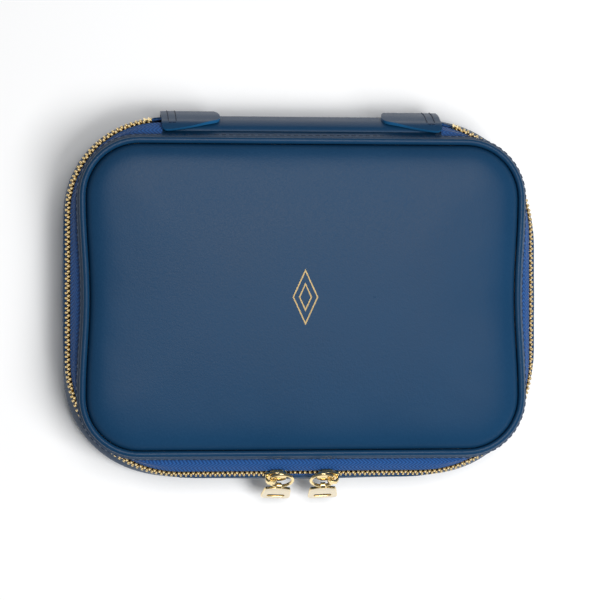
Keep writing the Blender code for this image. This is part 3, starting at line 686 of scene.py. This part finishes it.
def slider(name, side):
    nose = -side
    place = slider_place(side)
    half = 0.0055
    low = 0.0015
    thick = 0.0014

    def wing(width):
        shape = [(-half, 0.62 * width), (-half, -0.62 * width), (-0.1 * half, -width), (0.62 * half, -width),
                 (half, -0.62 * width), (1.04 * half, 0.0), (half, 0.62 * width), (0.62 * half, width),
                 (-0.1 * half, width)]
        return [(nose * a, b) for a, b in shape]

    front = rounded(slab(wing(0.0043), low, low + thick), 0.00035)
    back = rounded(slab(wing(0.0039), -low - thick, -low), 0.00035)
    post = block((0.0026, 0.0008, 2 * low + 0.6 * thick), (nose * 0.55 * half, 0.0, 0.0))
    rail_one = block((0.0058, 0.0007, 0.0011), (nose * 0.0006, 0.0039, low - 0.0003), 0.0002)
    rail_two = block((0.0058, 0.0007, 0.0011), (nose * 0.0006, -0.0039, low - 0.0003), 0.0002)
    body = joined(front, back, post, rail_one, rail_two)
    bmesh.ops.transform(body, matrix=place, verts=body.verts)
    piece(f"zip_slider_{name}", body, GOLD, f"slider_{name}", (f"slider_{name}",))

    bar_x = side * 0.0025
    face = low + thick + 0.0001
    hole, foot, top = 0.0016, 0.0029, 0.0052
    arch = [(-foot, face), (-foot, top), (-foot + 0.0011, top + 0.0013), (foot - 0.0011, top + 0.0013),
            (foot, top), (foot, face), (hole, face), (hole, top - 0.0007), (hole - 0.0006, top),
            (-hole + 0.0006, top), (-hole, top - 0.0007), (-hole, face)]
    standing = Matrix(((1, 0, 0, bar_x), (0, 0, 1, 0), (0, 1, 0, 0), (0, 0, 0, 1)))
    bridge = rounded(slab(arch, -0.0014, 0.0014, standing), 0.0003, 2, 50)
    bmesh.ops.transform(bridge, matrix=place, verts=bridge.verts)
    piece(f"slider_bridge_{name}", bridge, GOLD, f"slider_{name}", (f"bridge_{name}",))

    ring_place = place @ Matrix.Translation((bar_x, 0.0, 0.0032 + 0.00075))
    path = ring_path(nose)
    hoop = wire(path, 0.00085)
    bmesh.ops.transform(hoop, matrix=ring_place, verts=hoop.verts)
    piece(f"pull_ring_{name}", hoop, GOLD, f"ring_{name}", (f"ring_{name}",), angle=80)
    pull(name, nose, ring_place)


def pull(name, nose, ring_place):
    """The frosted pull: a plate with a polished slot, on an eye rolled round its ring."""
    joint = joints[f"pull_{name}_swing"]
    coarse = ring_path(nose, 10)
    start, end = coarse[-3], coarse[-4]
    along = ((end - start) * nose).normalized()
    down = Vector((along.y, -along.x, 0.0))
    turn = Matrix((along, -down, Vector((0.0, 0.0, 1.0)))).transposed().to_4x4()
    place = ring_place @ Matrix.Translation(start.lerp(end, 0.5)) @ turn @ Matrix.Rotation(
        math.radians(4), 4, "X")
    place.translation = Vector(joint["pos_m"])

    half, top, low, corner = 0.0076, -0.0016, -0.0140, 0.0022
    shape = [(-0.0014, top + 0.0004), (-half + corner + 0.001, top - 0.0006)]
    shape += [(-half + 0.0012, top - 0.0012), (-half + 0.0006, top - 0.0010 - corner), (-half, low + corner)]
    shape += [(-half + corner * (1 - math.sin(turn)), low + corner * (1 - math.cos(turn)))
              for turn in (math.radians(90 - 22.5 * step) for step in range(1, 5))]
    shape += [(-a, b) for a, b in shape[::-1]]
    made = bmesh.new()
    face = made.faces.new([made.verts.new((a, b, -0.00075)) for a, b in shape])
    slot_half, slot_y, slot_r = 0.0046, low + 0.0036, 0.0011
    slot = [(slot_half - slot_r + slot_r * math.cos(turn), slot_y + slot_r * math.sin(turn))
            for turn in (math.radians(-90 + 30 * step) for step in range(7))]
    slot += [(-a, 2 * slot_y - b) for a, b in slot]
    bmesh.ops.delete(made, geom=[face], context="FACES_ONLY")
    hole = [made.verts.new((a, b, -0.00075)) for a, b in slot]
    for pair in zip(hole, hole[1:] + hole[:1]):
        made.edges.new(pair)
    bmesh.ops.triangle_fill(made, edges=made.edges, use_beauty=True, use_dissolve=False)
    grown = bmesh.ops.extrude_face_region(made, geom=made.faces)["geom"]
    moved = [part for part in grown if isinstance(part, bmesh.types.BMVert)]
    bmesh.ops.translate(made, verts=moved, vec=(0.0, 0.0, 0.0015))
    bmesh.ops.recalc_face_normals(made, faces=made.faces)
    rounded(made, 0.00026, 2, 50)
    eye_rows = []
    for x, radius in ((-0.0013, 0.0018), (0.0013, 0.0018), (0.0013, 0.00115), (-0.0013, 0.00115)):
        turns = [math.tau * step / 20 for step in range(20)]
        eye_rows.append([Vector((x, radius * math.cos(turn), radius * math.sin(turn))) for turn in turns])
    eye = rounded(skinned(eye_rows, back_to_first=True), 0.00018, 1, 60)
    plate = joined(made, eye)
    bmesh.ops.transform(plate, matrix=place, verts=plate.verts)
    thing = piece(f"zip_pull_{name}", plate, FROSTED_GOLD, f"pull_{name}", (f"pull_{name}",),
                  angle=30)
    flat = place.to_3x3() @ Vector((0.0, 0.0, 1.0))
    eye_middle = place.translation
    second_finish(thing, GOLD, lambda centre, normal: abs(normal.dot(flat)) < 0.97
                  or (centre - eye_middle).length < 0.0019)


# ---------------------------------------------------------------- base

def base_shell():
    sole = [(-0.0060, 0.0), (-0.0008, 0.0), (0.0002, 0.0004), (0.0005, 0.0009), (0.0005, 0.0018)]
    piece("bottom_leather", skinned([ring_row(*point) for point in sole]), NAVY, "base",
          ("bottom_panel",))
    piping = [ring_row(*point) for point in circle_section(0.0027, 0.0025, PIPING_RADIUS)]
    piece("bottom_piping_cord", skinned(piping, back_to_first=True), NAVY_SOFT, "base",
          ("bottom_piping",), angle=80)
    line = flowing([(0.0027, FOOT_Z), (0.0066, 0.0076), (0.0098, 0.0115), (0.0107, 0.0175),
                    (0.0108, 0.0222), (0.0104, 0.0246)], 5)
    rows = [run_row(reach, z, BACK_HALF_LENGTH) for reach, z in folded(line, 0.0, -0.0010)]
    piece("wall_leather", skinned(rows, round_rows=False, back_to_first=True), NAVY, "base",
          ("side_wall",), angle=60)
    row_of_stitches("wall_stitches", run_row(0.01076, RIM_Z - 0.0022, BACK_HALF_LENGTH - 0.001, 1500),
                    Vector((0.0, 0.0, 1.0)), "base", size=(0.0022, 0.0004, 0.0002))
    for node in ("bottom_board", "wall_board", "top_board"):
        frame["nodes"][node].data.materials.clear()
        frame["nodes"][node].data.materials.append(BOARD)


def stitch_places(path, pitch, up):
    total = lengths_of(path)
    found = []
    for step in range(max(1, int(total[-1] / pitch))):
        wanted = (step + 0.5) * pitch
        here = min(range(len(path) - 1), key=lambda n: abs(total[n] - wanted))
        found.append(along_matrix(path[here], path[here + 1] - path[here], up))
    return found


def row_of_stitches(name, path, up, body, pitch=0.0030, size=(0.0022, 0.0004, 0.00035)):
    stitch = block(size, rounding=0.00012)
    piece(name, repeated(stitch, stitch_places(path, pitch, up)), THREAD, body)


def back_reach(z):
    for low, high in zip(BACK_LINE, BACK_LINE[1:]):
        if z <= high[1]:
            return blended(low[0], high[0], (z - low[1]) / (high[1] - low[1]))
    return BACK_LINE[-1][0]


def back_rows(section, start_x, end_x, count):
    """Rows of a closed (reach, height) section at even steps along the back."""
    found = []
    for step in range(count):
        x = blended(start_x, end_x, step / (count - 1))
        found.append([Vector((x, LID_HALF_DEPTH + reach, z)) for reach, z in section])
    return found


def back_wall():
    line = flowing([*BACK_LINE, (0.0012, 0.0334), (0.0006, 0.0345), (-0.0002, 0.0356)], 5)
    section = folded(line, 0.0, -0.0011)
    leather = skinned(back_rows(section, -BACK_HALF_LENGTH, BACK_HALF_LENGTH, 60))
    sheet = piece("back_hinge_leather", leather, NAVY, None, ("back_panel", "back_board", "hinge_strip"),
                  angle=60)
    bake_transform(sheet)
    for side, x in (("left", -0.0690), ("right", 0.0690)):
        path = [Vector((x, LID_HALF_DEPTH + reach + 0.0001, z))
                for reach, z in flowing([(back_reach(0.0265), 0.0265), (back_reach(0.0310), 0.0310)], 30)]
        row_of_stitches(f"back_stitches_{side}", path, Vector((1.0, 0.0, 0.0)), "base", 0.0019,
                        (0.0013, 0.0004, 0.0003))


def strap_section():
    low, high = 0.0120, 0.0310
    heights = [blended(low, high, step / 12) for step in range(13)]
    inner = [(back_reach(z) + 0.0003, z) for z in heights]
    outer = [(reach + 0.0026 * (1.0 - 0.55 * abs(2 * step / 12 - 1) ** 6), z)
             for step, (reach, z) in enumerate(inner)]
    return outer + inner[::-1]


def strap():
    section = strap_section()
    for name, side in (("left", -1), ("right", 1)):
        rows = back_rows(section, side * 0.0698, 0.0, 48)
        half = piece(f"strap_{name}", skinned(rows), NAVY, None,
                     (f"handle_end_{name}", "handle_grip"), angle=60)
        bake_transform(half)


def tabs():
    over = 0.0032
    line = [(back_reach(0.0096) + 0.0003, 0.0096), (back_reach(0.0120) + over, 0.0117)]
    line += [(back_reach(z) + over, z) for z in (0.0143, 0.0215, 0.0281)]
    line += [(back_reach(0.0310) + over, 0.0316), (0.0022, 0.0338)]
    spine = flowing(line, 5)
    total = lengths_of([Vector(point) for point in spine])
    for name, side in (("left", -1), ("right", 1)):
        outer, tip = BACK_HALF_LENGTH, 0.0420
        rows = []
        count = 34
        for step, (reach, z) in enumerate(spine):
            middle = 0.58 * total[-1]
            share = (total[step] - middle) / (middle if total[step] < middle else total[-1] - middle)
            if share < 0.0:
                near = tip + 0.0085 * (1.0 - math.sqrt(max(0.0, 1.0 - share * share)))
            else:
                near = tip + 0.0260 * share ** 3
            far = outer - 0.0020 * max(0.0, (abs(share) - 0.84) / 0.16) ** 2
            rows.append([Vector((side * blended(far, near, place / (count - 1)), LID_HALF_DEPTH + reach, z))
                         for place in range(count)])
        sheet = grid_of(rows)
        bmesh.ops.recalc_face_normals(sheet, faces=sheet.faces)
        tab = piece(f"tab_leather_{name}", sheet, NAVY, "base", (f"tab_{name}",), angle=60)
        outward = tab.data.polygons[len(tab.data.polygons) // 2].normal.y > 0
        thicken = tab.modifiers.new("thickness", "SOLIDIFY")
        thicken.thickness = 0.0016
        thicken.offset = 1.0 if outward else -1.0
        thicken.use_even_offset = True
        tab.data.materials.append(PAINTED_EDGE)
        thicken.material_offset_rim = 1
        soften = tab.modifiers.new("soft_edge", "BEVEL")
        soften.width = 0.0004
        soften.segments = 2
        soften.limit_method = "ANGLE"
        soften.angle_limit = math.radians(50)

        seams = []
        face_line = sideways(spine, 0.0016)
        low_n, high_n = int(0.22 * len(spine)), int(0.86 * len(spine))
        for x in (side * 0.0688, side * 0.0648):
            seams.append([Vector((x, LID_HALF_DEPTH + reach + 0.00005, z))
                          for reach, z in face_line[low_n:high_n]])
        places = []
        for path in seams:
            fine = spaced(path, 0.0, lengths_of(path)[-1], 300)
            places += stitch_places(fine, 0.0023, Vector((1.0, 0.0, 0.0)))
        for n in (low_n, high_n - 1):
            reach, z = face_line[n]
            path = [Vector((side * x, LID_HALF_DEPTH + reach + 0.00005, z)) for x in (0.0688, 0.0648)]
            fine = spaced(path, 0.0, lengths_of(path)[-1], 60)
            places += stitch_places(fine, 0.0020, Vector((0.0, 0.3, 1.0)))
        piece(f"tab_stitches_{name}", repeated(block((0.0016, 0.0005, 0.0005), rounding=0.00014), places),
              THREAD, "base")


def grid_of(rows):
    """An open sheet through rows of points."""
    made = bmesh.new()
    place = made.verts.layers.int.new("place")
    corners = [made.verts.new(point) for point in rows[0]]
    for number, corner in enumerate(corners):
        corner[place] = number
    edges = [made.edges.new(pair) for pair in zip(corners, corners[1:])]
    for row in rows[1:]:
        grown = bmesh.ops.extrude_edge_only(made, edges=edges)["geom"]
        fresh = {part for part in grown if isinstance(part, bmesh.types.BMVert)}
        edges = [part for part in grown
                 if isinstance(part, bmesh.types.BMEdge) and fresh.issuperset(part.verts)]
        for corner in fresh:
            corner.co = row[corner[place]]
    return made


# ---------------------------------------------------------------- inside

def tray():
    outer = flowing([(0.0001, 0.0049), (0.0024, 0.0100), (0.0029, 0.0135), (0.0023, 0.0210),
                     (0.0013, 0.0239)], 4)
    inner = sideways(outer, -0.0030)
    inner = [(reach, z) for reach, z in inner if z > 0.0092]
    floor = [(-0.0020, 0.0085), (-0.0034, 0.0079), (-0.0080, 0.0079)]
    section = outer + [(-0.0002, 0.0247)] + inner[::-1] + floor
    piece("tray_lining", skinned([ring_row(*point) for point in section]), SUEDE, "base",
          ("base_lining",), angle=60)
    for name in ("divider_long", "divider_front", "divider_back"):
        low, high = (Vector(corner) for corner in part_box(name))
        wall = block(high - low, (low + high) / 2)
        thickness = min(high.x - low.x, high.y - low.y)
        crest = [edge for edge in wall.edges if min(corner.co.z for corner in edge.verts) > high.z - 1e-5
                 and abs(edge.calc_length() - thickness) > 1e-5]
        bmesh.ops.bevel(wall, geom=crest, offset=0.0011, segments=4, affect="EDGES", profile=0.5, material=-1)
        piece(f"{name}_suede", wall, SUEDE, "base", (name,), angle=60)


def ring_rolls():
    """Five stuffed rolls, narrowed towards their ends, with a slight random swell and a flattened underside.
    """
    for number in range(1, 6):
        low, high = (Vector(corner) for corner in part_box(f"ring_roll_{number}"))
        middle_y = (low.y + high.y) / 2
        radius = (high.z - low.z) / 2
        rows = []
        along = 26
        for step in range(along + 1):
            share = step / along
            x = blended(low.x, high.x, share)
            near_end = min(share, 1.0 - share) * (high.x - low.x)
            size = radius * math.sqrt(min(1.0, 0.30 + 0.70 * min(1.0, near_end / 0.0025)))
            row = []
            for turn in (math.tau * (n + 0.5) / 28 for n in range(28)):
                swell = 1.0 + 0.012 * noise.noise(Vector((x * 120.0, turn, number * 3.1)))
                z = low.z + radius + size * swell * math.sin(turn)
                row.append(Vector((x, middle_y + size * swell * math.cos(turn), max(z, low.z + 0.0003))))
            rows.append(row)
        roll = piece(f"ring_cushion_{number}", skinned(rows), SUEDE, "base", (f"ring_roll_{number}",),
                     angle=60)


def lid_inside():
    section = [(-0.0044, 0.0350), (-0.0044, 0.0303), (-0.0047, 0.0297), (-0.0052, 0.0295),
               (-0.0057, 0.0297), (-0.0061, 0.0303), (-0.0066, 0.0322), (-0.0078, 0.0329),
               (-0.0100, 0.0330)]
    piece("lid_lining_suede", skinned([ring_row(*point) for point in section]), SUEDE, "lid",
          ("lid_lining",), angle=60)

    low, high = (Vector(corner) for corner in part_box("lid_pocket"))
    pocket = bmesh.new()
    bmesh.ops.create_grid(pocket, x_segments=160, y_segments=26, size=0.5)
    for corner in pocket.verts:
        x = blended(low.x, high.x, corner.co.x + 0.5)
        across = corner.co.y + 0.5
        fade = (1.0 - across) ** 1.5
        side = min(1.0, (0.080 - abs(x)) / 0.006)
        gather = math.sin(x * 760.0 + 1.3 * math.sin(x * 90.0)) * fade * side
        sag = math.sin(math.pi * across) * 0.0004
        corner.co = Vector((x, blended(low.y, high.y, across), (low.z + high.z) / 2 - sag + 0.00055 * gather))
    sheet = piece("lid_pocket_cloth", pocket, SUEDE, "lid", ("lid_pocket",), angle=80)
    thicken = sheet.modifiers.new("thickness", "SOLIDIFY")
    thicken.thickness = 0.0006
    thicken.offset = 0.0

    low, high = (Vector(corner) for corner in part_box("pocket_elastic"))
    band = bmesh.new()
    bmesh.ops.create_grid(band, x_segments=320, y_segments=4, size=0.5)
    for corner in band.verts:
        x = blended(low.x, high.x, corner.co.x + 0.5)
        wave = 0.00030 * math.sin(x * 1900.0)
        corner.co = Vector((x, blended(low.y, high.y, corner.co.y + 0.5), (low.z + high.z) / 2 + wave))
    strip = piece("pocket_elastic_band", band, ELASTIC, "lid", ("pocket_elastic",), angle=80)
    thicken = strip.modifiers.new("thickness", "SOLIDIFY")
    thicken.thickness = 0.0011
    thicken.offset = 0.0

    frame["nodes"]["pocket_trim"].data.materials.clear()
    frame["nodes"]["pocket_trim"].data.materials.append(SUEDE)

    low, high = (Vector(corner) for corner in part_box("necklace_bar"))
    bar = block(high - low, (low + high) / 2, 0.0004, 2)
    piece("necklace_bar_leather", bar, NAVY, "lid", ("necklace_bar",))
    line = [Vector((blended(low.x + 0.002, high.x - 0.002, n / 200), (low.y + high.y) / 2 - 0.0022, low.z))
            for n in range(201)]
    row_of_stitches("necklace_bar_stitches", line, Vector((0.0, 1.0, 0.0)), "lid")

    for number in range(1, 5):
        low, high = (Vector(corner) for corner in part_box(f"necklace_tab_{number}"))
        half = (high.x - low.x) / 2
        x = (low.x + high.x) / 2
        outline = [(x - half, low.y), (x + half, low.y)]
        outline += [(x + half * math.cos(turn), high.y - half + half * math.sin(turn))
                    for turn in (math.pi * step / 16 for step in range(17))]
        tab = rounded(slab(outline, low.z, high.z), 0.0003, 2, 50)
        flap = piece(f"necklace_strap_{number}", tab, NAVY, f"necklace_tab_{number}",
                     (f"necklace_tab_{number}",))
        second_finish(flap, PAINTED_EDGE, lambda centre, normal: abs(normal.z) < 0.5)
        low, high = (Vector(corner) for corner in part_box(f"snap_cap_{number}"))
        profile = ((0.0, 0.0), (0.0022, 0.00002), (0.0030, 0.0001), (0.0037, 0.00045), (0.0040, 0.0009),
                   (0.0040, 0.0011), (0.0, 0.0011))
        cap = bmesh.new()
        points = [cap.verts.new((radius, 0.0, low.z + height)) for radius, height in profile]
        edges = [cap.edges.new(pair) for pair in zip(points, points[1:])]
        bmesh.ops.spin(cap, geom=points + edges, cent=(0, 0, 0), axis=(0, 0, 1), angle=math.tau,
                       steps=32, use_merge=True)
        bmesh.ops.remove_doubles(cap, verts=cap.verts, dist=1e-7)
        bmesh.ops.recalc_face_normals(cap, faces=cap.faces)
        bmesh.ops.translate(cap, verts=cap.verts, vec=((low.x + high.x) / 2, (low.y + high.y) / 2, 0.0))
        piece(f"snap_stud_{number}", cap, GOLD, f"necklace_tab_{number}", (f"snap_cap_{number}",),
              angle=30)


# ---------------------------------------------------------------- ornament

def ornament():
    """A small plain foil lozenge, one thin outline round a second, pressed on the crown."""
    outlines = []
    for half_width, half_height, line in ((0.0062, 0.0135, 0.00042), (0.0030, 0.0066, 0.00042)):
        rows = []
        for grow, z in ((line, 0.0), (-line, 0.0), (-line, 0.00006), (line, 0.00006)):
            rows.append([Vector((a * (half_width + grow * 0.9), b * (half_height + grow * 1.9),
                                 CROWN_Z - 0.00001 + z))
                         for a, b in ((1, 0), (0, 1), (-1, 0), (0, -1))])
        outlines.append(skinned(rows, back_to_first=True))
    piece("foil_lozenge", joined(*outlines), FOIL, "lid")


# ---------------------------------------------------------------- studio

def studio():
    made = bmesh.new()
    bmesh.ops.create_grid(made, x_segments=1, y_segments=1, size=3.0)
    mesh = bpy.data.meshes.new("floor")
    made.to_mesh(mesh)
    made.free()
    floor = bpy.data.objects.new("floor", mesh)
    scene.collection.objects.link(floor)
    pale = Finish("pale_floor", (0.90, 0.90, 0.90), 0.9)
    mesh.materials.append(pale.material)

    world = bpy.data.worlds.new("studio")
    world.use_nodes = True
    scene.world = world
    sky = world.node_tree.nodes["Background"]
    sky.inputs["Color"].default_value = (0.93, 0.96, 1.0, 1.0)
    sky.inputs["Strength"].default_value = 0.16

    def lamp(name, place, target, size, power, mirrored=True):
        light = bpy.data.lights.new(name, "AREA")
        light.shape = "RECTANGLE"
        light.size, light.size_y = size
        light.energy = power
        holder = bpy.data.objects.new(name, light)
        scene.collection.objects.link(holder)
        holder.visible_glossy = mirrored
        holder.location = place
        holder.rotation_euler = (Vector(target) - Vector(place)).to_track_quat("-Z", "Y").to_euler()

    lamp("key", (0.55, -0.40, 1.25), (0.0, 0.0, 0.02), (0.70, 0.70), 17.5, mirrored=False)
    lamp("overhead", (0.10, 0.30, 1.50), (0.0, 0.0, 0.02), (0.80, 0.60), 9.0)

    target = Vector((-0.0020, -0.0015, 0.0380))
    lean = math.radians(6.0)
    camera = bpy.data.cameras.new("camera")
    camera.sensor_width = 36.0
    camera.lens = 141.0
    holder = bpy.data.objects.new("camera", camera)
    scene.collection.objects.link(holder)
    holder.location = target + 1.2 * Vector((-math.sin(lean), 0.0, math.cos(lean)))
    right = Vector((math.cos(lean), 0.0, math.sin(lean)))
    up = Vector((0.0, 1.0, 0.0))
    holder.rotation_euler = Matrix((right, up, right.cross(up))).transposed().to_euler()
    scene.camera = holder
    scene.view_settings.view_transform = "Standard"


padded_lid()
lid_edge()
binding_end_stitches()
zip_tapes()
zip_teeth()
zip_stops()
slider("left", -1)
slider("right", 1)
base_shell()
back_wall()
strap()
tabs()
tray()
ring_rolls()
lid_inside()
ornament()
studio()
